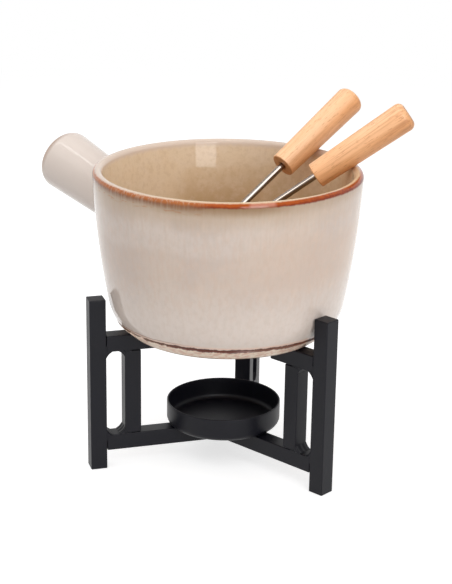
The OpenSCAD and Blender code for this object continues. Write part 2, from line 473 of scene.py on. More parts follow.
# %% [markdown]
# ## Profiles and turned shapes
# The tray is pressed, the pot is thrown on a wheel and the grips are turned on a lathe, so
# all of them are one profile carried round an axis.
# A profile is drawn as its maker would: straight lines, arcs, and a corner eased here and
# there. It is then cut into short steps, because a finish and a slight unevenness need
# points to hold on to, and carried round. Points on the axis stay single, so that the
# shape closes there.

# %% Arcs and bowed lines
def arc(centre, radius, start, end, steps=12):
    """Points along an arc, between two angles in degrees."""
    angles = [math.radians(start + (end - start) * i / steps) for i in range(steps + 1)]
    return [(centre[0] + radius * math.cos(a), centre[1] + radius * math.sin(a))
            for a in angles]


def bowed(first, last, bow, steps=24):
    """Points along a shallow arc that bulges by bow to the right of its way."""
    start, along = Vector(first), Vector(last) - Vector(first)
    chord = along.length
    along.normalize()
    right = Vector((along.y, -along.x))
    radius = (chord ** 2 / 4 + bow ** 2) / (2 * bow)
    half = math.asin(chord / 2 / radius)
    centre = start + along * chord / 2 - right * (radius - bow)
    angles = [-half + 2 * half * i / steps for i in range(steps + 1)]
    return [tuple(centre + radius * (math.cos(a) * right + math.sin(a) * along))
            for a in angles]


print("a bow 1 high over 10 is", round(max(-y for _, y in bowed((0, 0), (10, 0), 1)), 3), "high")

# %% Eased corners
EASE_LIMIT = 2.01


def eased(corners, reach, steps=5):
    """The same line with each inner corner rounded, from reach before it to reach after,
    or from just under the middle of a shorter side, so that two corners never meet."""
    line = [corners[0]]
    for before, corner, after in zip(corners, corners[1:], corners[2:]):
        here = Vector(corner)
        back, ahead = Vector(before) - here, Vector(after) - here
        start = here + back.normalized() * min(reach, back.length / EASE_LIMIT)
        end = here + ahead.normalized() * min(reach, ahead.length / EASE_LIMIT)
        for i in range(steps + 1):
            share = i / steps
            line.append(tuple(start.lerp(here, share).lerp(here.lerp(end, share), share)))
    return line + [corners[-1]]


print("a square corner, eased:", eased([(0, 0), (4, 0), (4, 4)], 1, 2))

# %% Carry a profile round
NOTHING = 1e-7


def in_steps(profile, longest):
    """The profile with its long stretches cut into steps."""
    line = [profile[0]]
    for start, end in zip(profile, profile[1:]):
        pieces = max(1, math.ceil(math.dist(start, end) / longest))
        if math.dist(start, end) > NOTHING:
            line += [tuple(Vector(start).lerp(Vector(end), i / pieces))
                     for i in range(1, pieces + 1)]
    return line


def carried_round(profile, turns):
    """Points and faces of a turned shape. Radius 0 gives one point on the axis."""
    points, rings, faces = [], [], []
    for radius, height in profile:
        count = turns if radius > NOTHING else 1
        rings.append([len(points) + i for i in range(count)])
        for i in range(count):
            angle = 2 * math.pi * i / turns
            points.append((radius * math.cos(angle), radius * math.sin(angle), height))
    for low, high in zip(rings, rings[1:]):
        for i in range(turns):
            j = (i + 1) % turns
            face = [low[i % len(low)], low[j % len(low)], high[j % len(high)], high[i % len(high)]]
            faces.append(list(dict.fromkeys(face)))
    return points, faces


print("a cone of 12 sides has", len(carried_round([(1, 0), (0, 1)], 12)[0]), "points")

# %% [markdown]
# ## Burner tray
# The tray is pressed from thin sheet and welded down where the lower rails meet. Its wall
# turns into its floor in a small bend, and its upper edge is only a cut edge with the
# coat drawn round it.

# %% Make the burner tray
TRAY_SHEET = 1 * MM
TRAY_BEND = 4 * MM
TRAY_STEP = 2 * MM
TRAY_TURNS = 160

tray_low, tray_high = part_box("burner_tray")
tray_radius = (tray_high.x - tray_low.x) / 2
tray_height = tray_high.z - tray_low.z
cut_edge = TRAY_SHEET / 2
bend_at = (tray_radius - TRAY_BEND, TRAY_BEND)
tray_profile = [(0, 0)]
tray_profile += arc(bend_at, TRAY_BEND, -90, 0)
tray_profile += arc((tray_radius - cut_edge, tray_height - cut_edge), cut_edge, 0, 180, 8)
tray_profile += arc(bend_at, TRAY_BEND - TRAY_SHEET, 0, -90)
tray_profile += [(0, TRAY_SHEET)]
points, faces = carried_round(in_steps(tray_profile, TRAY_STEP), TRAY_TURNS)
set_piece("tray", points, faces, coat, "stand", ["burner_tray"],
          Matrix.Translation((0, 0, tray_low.z)))
print("tray", round(2 * tray_radius / MM, 1), "mm across")

# %% [markdown]
# ## The pot's profile
# The pot is thrown in one piece: a low foot ring, a groove where the glaze stops, a round
# shoulder, a wall that leans out and swells a little, a rounded lip, and the inside.
# The profile runs from the middle of the underside, up the outside, over the lip and down
# to the middle of the floor. The finish has to know where on that way it is, so the
# distance from the lip's outermost line is kept with each point, in millimetres: less
# than nothing on the outside, more than nothing over the lip and inside.

# %% Find the pot
WALL = 6 * MM
RIM_RADIUS = 80 * MM

pot_low, pot_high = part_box("pot_body")
pot_height = pot_high.z - pot_low.z
pot_foot = Vector((pot_high.x - RIM_RADIUS, pot_low.y + RIM_RADIUS, pot_low.z))
lip = WALL / 2
lip_at = (RIM_RADIUS - lip, pot_height - lip)
print("pot", round(2 * RIM_RADIUS / MM), "mm wide,", round(pot_height / MM, 1), "mm high")

# %% Draw the outside of the pot
SHOULDER = (71.4 * MM, 19.5 * MM)
WALL_BOW = 1.3 * MM
GROOVE = (66.2 * MM, 7.9 * MM)
GROOVE_TO_WALL = (1 * MM, 0.6 * MM)
GROOVE_TO_FOOT = (0.6 * MM, -1 * MM)
FOOT_RADIUS = 58.8 * MM
FOOT_WIDTH = 5 * MM
FOOT_HOLLOW = 3 * MM
FOOT_EASE = 0.7 * MM
POT_STEP = 1 * MM


def shoulder_arc(wall_start, wall_way, end):
    """The arc that leaves the wall smoothly, downwards, and ends at a point."""
    out = Vector((wall_way.y, -wall_way.x))
    reach = Vector(end) - wall_start
    radius = -reach.length_squared / (2 * reach.dot(out))
    centre = wall_start - radius * out
    spoke = Vector(end) - centre
    angles = [math.degrees(math.atan2(way.y, way.x)) for way in (spoke, out)]
    return arc(centre, radius, *angles)


def pot_outside():
    """From the middle of the underside to the lip's outermost point."""
    inner_foot = FOOT_RADIUS - FOOT_WIDTH
    wall = bowed(SHOULDER, (RIM_RADIUS, lip_at[1]), WALL_BOW)
    way = (Vector(wall[1]) - Vector(wall[0])).normalized()
    groove_top = (GROOVE[0] + GROOVE_TO_WALL[0], GROOVE[1] + GROOVE_TO_WALL[1])
    groove_low = (GROOVE[0] + GROOVE_TO_FOOT[0], GROOVE[1] + GROOVE_TO_FOOT[1])
    turn = shoulder_arc(Vector(wall[0]), way, groove_top)
    foot = [(0, FOOT_HOLLOW), (inner_foot - FOOT_HOLLOW, FOOT_HOLLOW), (inner_foot, 0),
            (FOOT_RADIUS, 0), groove_low, GROOVE, groove_top, turn[1]]
    return eased(foot, FOOT_EASE) + turn[2:-1] + wall


outside = in_steps(pot_outside(), POT_STEP)
print("points on the outside:", len(outside))

# %% Draw the inside of the pot
INNER_BOW = 1.5 * MM
FLOOR_HEIGHT = 11 * MM
FLOOR_TURN = 16 * MM


def pot_inside():
    """From the lip's outermost point to the middle of the inner floor."""
    over = arc(lip_at, lip, 0, 180, 24)
    wall = bowed(over[-1], (SHOULDER[0] - WALL, FLOOR_HEIGHT + FLOOR_TURN), INNER_BOW)
    turn_at = (SHOULDER[0] - WALL - FLOOR_TURN, FLOOR_HEIGHT + FLOOR_TURN)
    return over[1:-1] + wall + arc(turn_at, FLOOR_TURN, 0, -90)[1:] + [(0, FLOOR_HEIGHT)]


inside = in_steps([outside[-1]] + pot_inside(), POT_STEP)
pot_profile = outside + inside[1:]
print("points on the whole profile:", len(pot_profile))

# %% [markdown]
# ## The bowl of the pot
# A thrown wall is never perfectly true, and thick glaze settles in soft waves. Both are
# about a tenth of a millimetre, too little to see in the outline and enough to bend a
# reflection. Each point is pressed in by a slow noise, and never out, so that the pot
# keeps its size.

# %% Waves in the glaze
WAVE_DEPTH = 0.15 * MM
WAVE_LENGTH = 24 * MM
WAVE_SQUASH = 1.4
NEAR_AXIS = 1 * MM


def waved(point):
    """The point pressed in towards the pot's axis by the waves in the glaze."""
    x, y, z = point
    radius = math.hypot(x, y)
    if radius < NEAR_AXIS:
        return point
    wave = 0.5 + 0.5 * noise.noise(Vector((x, y, z * WAVE_SQUASH)) / WAVE_LENGTH)
    inward = 1 - WAVE_DEPTH * wave / radius
    return (x * inward, y * inward, z)


lip_pressed = RIM_RADIUS - waved((RIM_RADIUS, 0, lip_at[1]))[0]
print("a wave presses the lip in by", round(lip_pressed / MM, 3), "mm at one place")

# %% Points of the bowl
POT_TURNS = 240


def run_of(profile, middle):
    """How far along a profile each of its points is from a middle one, in millimetres."""
    lengths = [0.0]
    for start, end in zip(profile, profile[1:]):
        lengths.append(lengths[-1] + math.dist(start, end) / MM)
    return [length - lengths[middle] for length in lengths]


bowl_points, bowl_faces = carried_round(pot_profile, POT_TURNS)
bowl_runs = []
for (radius, height), run in zip(pot_profile, run_of(pot_profile, len(outside) - 1)):
    bowl_runs += [run] * (POT_TURNS if radius > NOTHING else 1)
bowl_points = [waved(point) for point in bowl_points]
print("bowl:", len(bowl_points), "points")

# %% [markdown]
# ## The stub handle
# The handle is a short tapered tube, closed at its end and pressed onto the wall while the
# clay is soft. The join is smoothed with a finger, which leaves a small hollow fillet.
# The hard part is that join, because a round handle meets a round wall in a saddle. Each
# line along the handle is followed inwards until it meets the wall, which is found by
# halving a stretch until it is short enough. From there a curve leads from the handle to
# the wall, and a last ring is sunk into the wall so that no gap shows.

# %% The handle's own frame
HANDLE_TURN = math.radians(150.9)
HANDLE_RISE = math.radians(17.4)
HANDLE_HEIGHT = 57 * MM
HANDLE_ROOT = 16 * MM
HANDLE_END = 19.3 * MM
HANDLE_LENGTH = 78 * MM
HANDLE_ROUND = 8.3 * MM

to_handle = Matrix.Translation((0, 0, HANDLE_HEIGHT))
to_handle @= Matrix.Rotation(HANDLE_TURN, 4, "Z")
to_handle @= Matrix.Translation((RIM_RADIUS - WALL, 0, 0))
to_handle @= Matrix.Rotation(math.pi / 2 - HANDLE_RISE, 4, "Y")


def handle_radius(along):
    """Radius of the handle where it is a plain taper."""
    straight = HANDLE_LENGTH - HANDLE_ROUND
    return HANDLE_ROOT + (HANDLE_END - HANDLE_ROOT) * along / straight


def on_handle(along, angle):
    radius = handle_radius(along)
    return to_handle @ Vector((radius * math.cos(angle), radius * math.sin(angle), along))


print("handle rises", round(math.degrees(HANDLE_RISE), 1), "degrees")

# %% Where the handle meets the wall
SEARCH_FROM = -12 * MM
SEARCH_TO = 30 * MM
HALVINGS = 30


def wall_radius(height):
    """Radius of the pot's outer side at a height above its foot."""
    for (r0, z0), (r1, z1) in zip(outside, outside[1:]):
        if z0 <= height <= z1 and z1 > z0 and z0 > GROOVE[1]:
            return r0 + (r1 - r0) * (height - z0) / (z1 - z0)
    return RIM_RADIUS


def outside_wall(point):
    """How far a point is outside the wall. Less than nothing is inside it."""
    return math.hypot(point.x, point.y) - wall_radius(point.z)


def meets_wall(angle):
    """How far along the handle one of its lines leaves the wall."""
    inside_at, outside_at = SEARCH_FROM, SEARCH_TO
    for halving in range(HALVINGS):
        middle = (inside_at + outside_at) / 2
        if outside_wall(on_handle(middle, angle)) > 0:
            outside_at = middle
        else:
            inside_at = middle
    return outside_at


meets = [meets_wall(math.radians(angle)) / MM for angle in range(0, 360, 10)]
print("its lines leave the wall at", round(min(meets), 1), "to", round(max(meets), 1), "mm")

# %% Fillet the join
FILLET = 4 * MM
FILLET_STEPS = 10
SUNK = 2 * MM


def onto_wall(point, proud):
    """The point moved level with the table until it is proud of the wall by so much."""
    radius = math.hypot(point.x, point.y)
    target = wall_radius(point.z) - WAVE_DEPTH + proud
    return Vector((point.x * target / radius, point.y * target / radius, point.z))


def fillet_line(angle):
    """Points from the handle's side, round the hollow join, and into the wall."""
    leaves = meets_wall(angle)
    corner = on_handle(leaves, angle)
    start = on_handle(leaves + FILLET, angle)
    centre = to_handle @ Vector((0, 0, leaves))
    end = onto_wall(corner + (corner - centre).normalized() * FILLET, 0)
    line = []
    for i in range(FILLET_STEPS + 1):
        share = i / FILLET_STEPS
        line.append(start.lerp(corner, share).lerp(corner.lerp(end, share), share))
    return line + [onto_wall(end, -SUNK)]


print("points on a line of the join:", len(fillet_line(0)))

# %% Points of the handle
HANDLE_TURNS = 120
HANDLE_STEP = 1.5 * MM
SIDE_STEPS = 30
END_HUB = 1 * MM
END_STEPS = 18
# The rounded edge stops a few degrees short of square, and the taper goes on from there.
EDGE_STOPS = 4

end_flat = HANDLE_END - HANDLE_ROUND
edge_start = HANDLE_LENGTH - HANDLE_ROUND


def handle_points():
    """Lines along the handle, each from near the middle of the end face down into the wall."""
    end_arc = arc((end_flat, edge_start), HANDLE_ROUND, 90, EDGE_STOPS, END_STEPS)
    end_line = in_steps([(END_HUB, HANDLE_LENGTH)] + end_arc, HANDLE_STEP)
    lines = []
    for i in range(HANDLE_TURNS):
        angle = 2 * math.pi * i / HANDLE_TURNS
        spoke = (math.cos(angle), math.sin(angle))
        line = [to_handle @ Vector((r * spoke[0], r * spoke[1], h)) for r, h in end_line]
        fillet = fillet_line(angle)
        end_of_arc = line[-1]
        line += [end_of_arc.lerp(fillet[0], i / SIDE_STEPS) for i in range(1, SIDE_STEPS)]
        lines.append(line + fillet)
    return lines


handle_lines = handle_points()
rings = len(handle_lines[0])
stub_points = [line[ring] for ring in range(rings) for line in handle_lines]
end_middle, root_middle = len(stub_points), len(stub_points) + 1
stub_points += [to_handle @ Vector((0, 0, HANDLE_LENGTH)), to_handle @ Vector((0, 0, 0))]
print("handle:", len(stub_points), "points in", rings, "rings")

# %% Faces of the handle
stub_faces = []
last = (rings - 1) * HANDLE_TURNS
for i in range(HANDLE_TURNS):
    j = (i + 1) % HANDLE_TURNS
    stub_faces.append([end_middle, i, j])
    stub_faces.append([root_middle, last + j, last + i])
    for ring in range(rings - 1):
        low, high = ring * HANDLE_TURNS, (ring + 1) * HANDLE_TURNS
        stub_faces.append([low + i, low + j, high + j, high + i])
print("handle:", len(stub_faces), "faces")

# %% [markdown]
# ## Glaze
# A reactive glaze is cream where it lies thick and breaks to rust where it runs thin, on
# the lip and on sharp turns. It runs down the wall in fine streaks while it melts, pools
# tan and mottled inside, and stops above the foot, where a dark line of iron shows in the
# groove. The foot below is wiped to a thin pinkish skin.
# All of that depends on where a point is: how far along the profile, how high, and round
# to which side. So the recipe starts with those readings, wobbles them with noise so that
# no edge is drawn with a ruler, and lays one colour over another from the wall outwards.

# %% Colours of the glaze
CREAM = colour(221, 203, 189)
GREIGE = colour(212, 195, 184)
BLUSH = colour(224, 202, 186)
STREAK = colour(206, 190, 175)
HAZE = colour(192, 164, 132)
BROWN_UNDER_RUST = colour(158, 124, 88)
PALE = colour(230, 216, 206)
WARM = colour(217, 190, 171)
PEACH = colour(216, 186, 164)
LIP_CREAM = colour(225, 204, 187)
LIP_WARM = colour(228, 198, 160)
ORANGE = colour(180, 78, 0)
RUST = colour(126, 42, 2)
BROWN = colour(150, 104, 74)
BROWN_ORANGE = colour(184, 108, 54)
RUST_PALE = colour(204, 134, 110)
RUST_PALE_LOW = colour(156, 96, 72)
TAN = colour(231, 206, 174)
# Darker tan, for the mottle and for the painted shade deep inside the bowl.
TAN_DARK = colour(194, 160, 118)
TAN_PALE = colour(236, 214, 190)
IRON = colour(92, 28, 14)
IRON_BROWN = colour(104, 58, 40)
IRON_THIN = colour(112, 80, 58)
FOOT = colour(255, 235, 215)
FOOT_BLUSH = colour(239, 201, 179)
# Bare clay, made darker to stand in for the shade where the foot meets the table.
CLAY_AND_PAINTED_SHADE = colour(122, 102, 84)
THIN_GLAZE = colour(176, 138, 112)
print("where the glaze lies thick, its red is", round(CREAM[0] / CREAM[2], 2), "times its blue")

# %% Readings of the glaze
class Glaze(Finish):
    """The cream glaze, with the readings that all of its layers use. The run is the way
    along the profile from the lip's outermost line, and the height is above the foot, both
    in millimetres. Directions are degrees round the pot's axis: the front is at -77, the
    left side at about -150 and the right side at about 0. Cloud, blotch, patch, curd and
    speck are noises, from large to small, and streak is one that is drawn out downwards."""

    def __init__(self):
        super().__init__("cream reactive glaze")
        self.run = self.reading("run")
        self.height = self.math("MULTIPLY", self.part(self.own(), 2), 1 / MM)
        self.cloud = self.noise((26, 26, 22), detail=3.0)
        self.blotch = self.noise(150, (3, 1, 2), 4.0, 0.6)
        self.patch = self.noise(330, (2, 8, 5))
        self.curd = self.noise((430, 430, 150), (6, 2, 8), 3.0, 0.6)
        self.speck = self.noise(900, (9, 4, 1), 3.0, 0.65)
        self.streak = self.noise((720, 720, 34), (5, 5, 5), 3.0, 0.6)
        self.wobble = self.swing(self.noise((420, 420, 150), (1, 7, 4), 3.0))

    def swing(self, value):
        """A noise, which lies round a half, brought to lie round nothing."""
        return self.math("SUBTRACT", value, 0.5)

    def moved(self, value, by, amount):
        """A value with so much of another added."""
        return self.math("ADD", value, self.math("MULTIPLY", by, amount))

    def band(self, value, low, high, soft):
        """1 between two values, fading to 0 over soft outside them."""
        return self.share(self.fade(value, low - soft, low), self.fade(value, high + soft, high))


# %% Lay the glaze on the wall
# Each stretch of the run over which a layer fades in, or lies.
WARM_LIES = (-46, -26)
PALE_LIES = (-24, -16)
PALER_DOWN = (-40, -76)
CURDLED_UP = (-74, -50)
STREAKED_UP = (-60, -8)
HAZE_UP = (-17, -2)
BROWN_UNDER_RUST_UP = (-7.0, 0.5)


def glaze_wall(mix):
    """Cream clouded with greige and blush, faintly curdled and streaked, with a tan haze at the
    top, and darker brown just under the rust line at the front."""
    wall = mix.blend(mix.fade(mix.cloud, 0.38, 0.66), CREAM, GREIGE)
    wall = mix.veil(wall, BLUSH, mix.blotch, 0.45, 0.75, 0.7)
    lean = mix.moved(mix.run, mix.swing(mix.cloud), 20)
    left = mix.fade(mix.towards(-120), 0.3, 0.85)
    warm = mix.share(mix.band(lean, *WARM_LIES, 14), mix.between(left, 0.45, 0.12))
    wall = mix.blend(warm, wall, WARM)
    wall = mix.blend(mix.share(mix.band(lean, *PALE_LIES, 7), left, 0.45), wall, PALE)
    low_down = mix.share(mix.fade(mix.run, *PALER_DOWN), mix.reading("bowl"), 0.92)
    wall = mix.blend(low_down, wall, PALE)
    wall = mix.veil(wall, STREAK, mix.patch, 0.45, 0.68, 0.18)
    curdled = mix.between(mix.fade(mix.run, *CURDLED_UP), 0.1, 0.24)
    wall = mix.veil(wall, PEACH, mix.curd, 0.44, 0.64, curdled)
    high_up = mix.between(mix.fade(mix.run, *STREAKED_UP), 0.1, 0.26)
    wall = mix.veil(wall, STREAK, mix.streak, 0.42, 0.72, high_up)
    front = mix.between(mix.fade(mix.towards(-98), 0.1, 0.95), 0.2, 0.6)
    low_edge = mix.moved(mix.run, mix.swing(mix.cloud), 10)
    drawn_out = mix.between(mix.streak, 0.75, 1.1)
    hung = mix.share(mix.fade(low_edge, *HAZE_UP), front, drawn_out)
    wall = mix.blend(hung, wall, HAZE)
    # Darker brown just under the rust line, strongest at the front.
    under_lip = mix.fade(mix.moved(mix.run, mix.wobble, 1.5), *BROWN_UNDER_RUST_UP)
    brown_at_front = mix.between(mix.fade(mix.towards(-80), 0.84, 0.98), 0.35, 0.95)
    return mix.blend(mix.share(under_lip, brown_at_front), wall, BROWN_UNDER_RUST)


glaze = Glaze()
wall = glaze_wall(glaze)
print("nodes, with the wall:", len(glaze.tree.nodes))

# %% Lay the glaze over the lip and inside
LIP_STARTS = (1.0, 3.0)
INSIDE_STARTS = (8.2, 11.5)
# Painted shade inside the bowl: the heights in mm over which it darkens the tan, and how much less
# of it lies on the lit handle side.
PAINTED_SHADE_HEIGHTS = (94, 46)
LESS_SHADE_BY_HANDLE = 34


def glaze_inside(mix):
    """Tan and mottled, with painted shade that darkens it towards the floor, less so on the
    handle's side, where the wall is lit.
    """
    by_handle = mix.fade(mix.towards(180), 0.5, 0.9)
    height = mix.moved(mix.height, by_handle, LESS_SHADE_BY_HANDLE)
    # Painted shade: the tan darkens towards the floor, less on the lit handle side.
    tan_and_shade = mix.blend(mix.fade(height, *PAINTED_SHADE_HEIGHTS), TAN, TAN_DARK)
    tan_and_shade = mix.veil(tan_and_shade, TAN_PALE, mix.blotch, 0.42, 0.68, 0.32)
    tan_and_shade = mix.veil(tan_and_shade, TAN_DARK, mix.patch, 0.45, 0.7, 0.2)
    return mix.veil(tan_and_shade, TAN_DARK, mix.speck, 0.45, 0.7, 0.12)


def lip_and_inside(mix, surface):
    """Cream over the lip, warmer on the right, and then the inside."""
    over_lip = mix.moved(mix.run, mix.wobble, 2.0)
    lip_cream = mix.blend(mix.fade(mix.towards(-40), -0.3, 0.9), LIP_CREAM, LIP_WARM)
    surface = mix.blend(mix.fade(over_lip, *LIP_STARTS), surface, lip_cream)
    return mix.blend(mix.fade(over_lip, *INSIDE_STARTS), surface, glaze_inside(mix))


surface = lip_and_inside(glaze, wall)
print("nodes, with the lip and the inside:", len(glaze.tree.nodes))

# %% Lay the rust line
RUST_STOPS = (3.8, 2.5)
SMEARS_LIE = (-3.6, -2.4)


def rust_line(mix, surface):
    """The line round the lip: orange to rust, broken and brown on the left, with smears under it
    there, and paler over a short stretch at the front."""
    left = mix.fade(mix.towards(-150), 0.36, 0.58)
    right = mix.fade(mix.towards(0), 0.5, 0.95)
    lower = mix.moved(mix.moved(mix.run, mix.wobble, 1.0), mix.share(mix.streak, left), 1.0)
    lower = mix.moved(lower, right, -0.3)
    upper = mix.moved(mix.moved(mix.run, mix.wobble, 0.8), right, -0.9)
    starts, full = mix.between(left, -0.4, -2.6), mix.between(left, 0.8, 1.3)
    line = mix.share(mix.fade(lower, starts, full), mix.fade(upper, *RUST_STOPS))
    gaps = mix.share(mix.fade(mix.streak, 0.56, 0.36), left, 0.35)
    line = mix.share(line, mix.math("SUBTRACT", 1.0, gaps))
    rust = mix.blend(mix.fade(mix.moved(upper, mix.patch, 2.4), 1.2, 3.2), RUST, ORANGE)
    rust = mix.blend(mix.share(mix.fade(mix.speck, 0.4, 0.65), right, 0.75), rust, RUST)
    broken = mix.blend(mix.fade(mix.moved(upper, mix.blotch, 2.0), 0.9, 2.8), BROWN, BROWN_ORANGE)
    rust = mix.blend(mix.share(left, 0.85), rust, broken)
    # A short stretch at the front where the line turns paler and pinker.
    pale_stretch = mix.fade(mix.towards(-63), 0.994, 0.9975)
    pale_rust = mix.blend(mix.fade(mix.run, 1.8, 0.2), RUST_PALE, RUST_PALE_LOW)
    rust = mix.blend(mix.share(pale_stretch, 0.9), rust, pale_rust)
    surface = mix.blend(line, surface, rust)
    smear = mix.fade(mix.noise((190, 190, 800), (4, 4, 4)), 0.52, 0.66)
    smears = mix.share(mix.band(mix.run, *SMEARS_LIE, 1.6), smear, left)
    return mix.blend(mix.share(smears, 0.35), surface, BROWN_ORANGE)


surface = rust_line(glaze, surface)
print("nodes, with the rust line:", len(glaze.tree.nodes))

# %% Lay the iron in the groove, and the foot
OUTSIDE_ONLY = (-20, -40)
IRON_HEIGHT = 7.8
FOOT_TOP = (8.2, 7.6)
HALO_LIES = (8.3, 9.6)
SECOND_LINE = (9.9, 10.1)
# Heights in mm below which bare clay and painted contact shade darken the foot.
CLAY_AND_SHADE_BELOW = (1.3, 0.4)


def iron_groove(mix, surface):
    """The dark line in the groove: thick and red-brown in front, thin and paler beside, with a
    faint second line above it on the left. Below it is the thin pinkish skin of the foot, with
    bare clay where it stands, darkened further as painted shade where the foot meets the table."""
    outside_only = mix.fade(mix.run, *OUTSIDE_ONLY)
    front = mix.fade(mix.towards(-50), 0.1, 0.85)
    red = mix.fade(mix.towards(-92), 0.8, 0.98)
    drift = mix.swing(mix.noise(55, (7, 2, 9)))
    uneven = mix.swing(mix.noise(230, (3, 9, 2), 3.0, 0.6))
    middle = mix.moved(mix.moved(mix.height, mix.wobble, 0.8), drift, 1.2)
    away = mix.math("ABSOLUTE", mix.math("SUBTRACT", middle, IRON_HEIGHT))
    thick = mix.moved(mix.between(front, 0.0, 0.7), uneven, 2.4)
    line = mix.fade(mix.math("SUBTRACT", away, thick), 0.75, 0.0)
    iron = mix.blend(front, IRON_THIN, mix.blend(red, IRON_BROWN, IRON))
    foot = mix.blend(mix.fade(mix.patch, 0.4, 0.6), FOOT, FOOT_BLUSH)
    surface = mix.blend(mix.share(mix.fade(middle, *FOOT_TOP), outside_only), surface, foot)
    halo = mix.share(mix.band(middle, *HALO_LIES, 1.2), outside_only, 0.7)
    surface = mix.blend(halo, surface, FOOT_BLUSH)
    on_left = mix.fade(mix.towards(-130), 0.75, 0.97)
    second = mix.share(mix.band(middle, *SECOND_LINE, 0.4), on_left)
    surface = mix.blend(mix.share(second, outside_only, 0.45), surface, IRON_THIN)
    surface = mix.blend(mix.share(line, outside_only, 0.95), surface, iron)
    # Painted shade: bare clay darkened along the bottom edge, where the foot meets the table.
    under = mix.share(mix.fade(mix.height, *CLAY_AND_SHADE_BELOW), outside_only)
    return mix.blend(under, surface, CLAY_AND_PAINTED_SHADE)


surface = iron_groove(glaze, surface)
print("nodes, with the groove and the foot:", len(glaze.tree.nodes))

# %% Lay the glaze on the handle, and give it its gloss
GLAZE_ROUGHNESS = 0.05
FOOT_ROUGHNESS = 0.4
FOOT_ROUGH_FROM = (7.6, 7.0)
GLAZE_GLOSS = 0.3
GLAZE_DIMPLES = 0.012 * MM


def on_the_handle(mix, surface):
    """Pale glaze on the stub handle, which runs thin round the edge of its end."""
    surface = mix.blend(mix.fade(mix.reading("bowl"), 0.7, 0.3), surface, PALE)
    return mix.blend(mix.share(mix.reading("thin"), 0.85), surface, THIN_GLAZE)


glaze.wire("Base Color", on_the_handle(glaze, surface))
low_down = glaze.fade(glaze.height, *FOOT_ROUGH_FROM)
foot = glaze.share(low_down, glaze.fade(glaze.run, *OUTSIDE_ONLY))
glaze.wire("Roughness", glaze.between(foot, GLAZE_ROUGHNESS, FOOT_ROUGHNESS))
glaze.even("Specular IOR Level", GLAZE_GLOSS)
glaze.bump(glaze.patch, GLAZE_DIMPLES)
print("finish:", glaze.material.name)

# %% Set down the bowl
def keep_readings(piece, **readings):
    """Keeps a number with each point of a piece, or one number with all of its points."""
    for name, values in readings.items():
        if isinstance(values, float):
            values = [values] * len(piece.data.vertices)
        kept = piece.data.attributes.new(name, "FLOAT", "POINT")
        kept.data.foreach_set("value", values)


place = Matrix.Translation(pot_foot)
bowl = set_piece("pot_bowl", bowl_points, bowl_faces, glaze.material, "pot",
                 ["pot_body"], place)
keep_readings(bowl, run=bowl_runs, thin=0.0, bowl=1.0)
print("pot stands", round(pot_foot.z / MM, 1), "mm above the table")

# %% Set down the handle
BOWL_REACH = 14 * MM
STUB_RUN = -50.0
THIN_MIDDLE = 0.55
THIN_REACH = 0.45

stub = set_piece("pot_handle", stub_points, stub_faces, glaze.material, "pot",
                 (), place)
from_handle = to_handle.inverted()
like_bowl, thinness = [], []
for point in stub_points:
    like_bowl.append(max(0.0, 1 - outside_wall(point) / BOWL_REACH))
    on_lathe = from_handle @ point
    past = (on_lathe.z - edge_start) / HANDLE_ROUND
    edge_band = max(0.0, 1 - abs(past - THIN_MIDDLE) / THIN_REACH)
    thinness.append(edge_band if math.hypot(*on_lathe.xy) > end_flat else 0.0)
keep_readings(stub, run=STUB_RUN, thin=thinness, bowl=like_bowl)
print("thin glaze at", sum(value > 0 for value in thinness), "points of the handle")

# %% [markdown]
# ## Beech
# The grips are turned from beech, with the grain along them: pale, slightly pink, with
# faint growth lines and the short darker dashes that mark beech from other woods. On the
# ends the same lines show as rings, and the wood looks darker because light sinks in.
# A noise stretched along the grain gives lines, and a finer one with a high threshold
# gives dashes. Each grip is cut from another part of the board, so it has its own shift
# and its own strength.

# %% Mix the beech
WOOD = colour(250, 201, 154)
WOOD_WARM = colour(238, 170, 110)
WOOD_LINE = colour(194, 122, 66)
END_GRAIN = colour(200, 142, 94)
WOOD_ROUGHNESS = (0.38, 0.54)
WOOD_GLOSS = 0.7
FIBRE_DEPTH = 0.02 * MM
# How far from each end the end grain starts to show, and how far from it shows in full.
INNER_END = (0.7 * MM, 0.1 * MM)
OUTER_END = (0.8 * MM, 0.1 * MM)


def beech(name, shift, lines, flecks, length):
    """Beech for a grip of one length, from the place in the board that shift gives, with
    its growth lines and its flecks as strong as said."""
    mix = Finish(name)
    board = mix.noise((70, 70, 9), shift)
    growth = mix.noise((560, 230, 12), shift, 3.0, 0.6)
    vessel = mix.noise((1700, 1700, 210), shift)
    fibre = mix.noise((2600, 2600, 60), shift)
    wood = mix.blend(mix.fade(board, 0.3, 0.7), WOOD, WOOD_WARM)
    wood = mix.veil(wood, WOOD_LINE, growth, 0.47, 0.68, lines)
    wood = mix.veil(wood, WOOD_LINE, vessel, 0.58, 0.72, flecks)
    wood = mix.veil(wood, WOOD_LINE, fibre, 0.4, 0.75, 0.2)
    along = mix.part(mix.own(), 2)
    inner_end = mix.fade(along, *INNER_END)
    outer_end = mix.fade(along, length - OUTER_END[0], length - OUTER_END[1])
    ends = mix.math("MAXIMUM", inner_end, outer_end)
    ring = mix.noise((700, 260, 1), shift, 3.0)
    end_wood = mix.blend(mix.fade(ring, 0.4, 0.65), END_GRAIN, WOOD_LINE)
    wood = mix.blend(mix.share(ends, 0.75), wood, end_wood)
    mix.wire("Base Color", wood)
    mix.wire("Roughness", mix.between(fibre, *WOOD_ROUGHNESS))
    mix.even("Specular IOR Level", WOOD_GLOSS)
    mix.bump(fibre, FIBRE_DEPTH)
    return mix.material


print("the end grain is", round(END_GRAIN[0] / WOOD[0], 2), "times as light as the wood")

# %% [markdown]
# ## Polished steel
# The shafts are drawn steel wire, polished along their length. The polish is not a mirror:
# it keeps fine lengthwise lines, which smear a reflection across the shaft and leave it
# long. A noise stretched far along the shaft gives those lines, as a slight relief and as
# a slight change of tone.

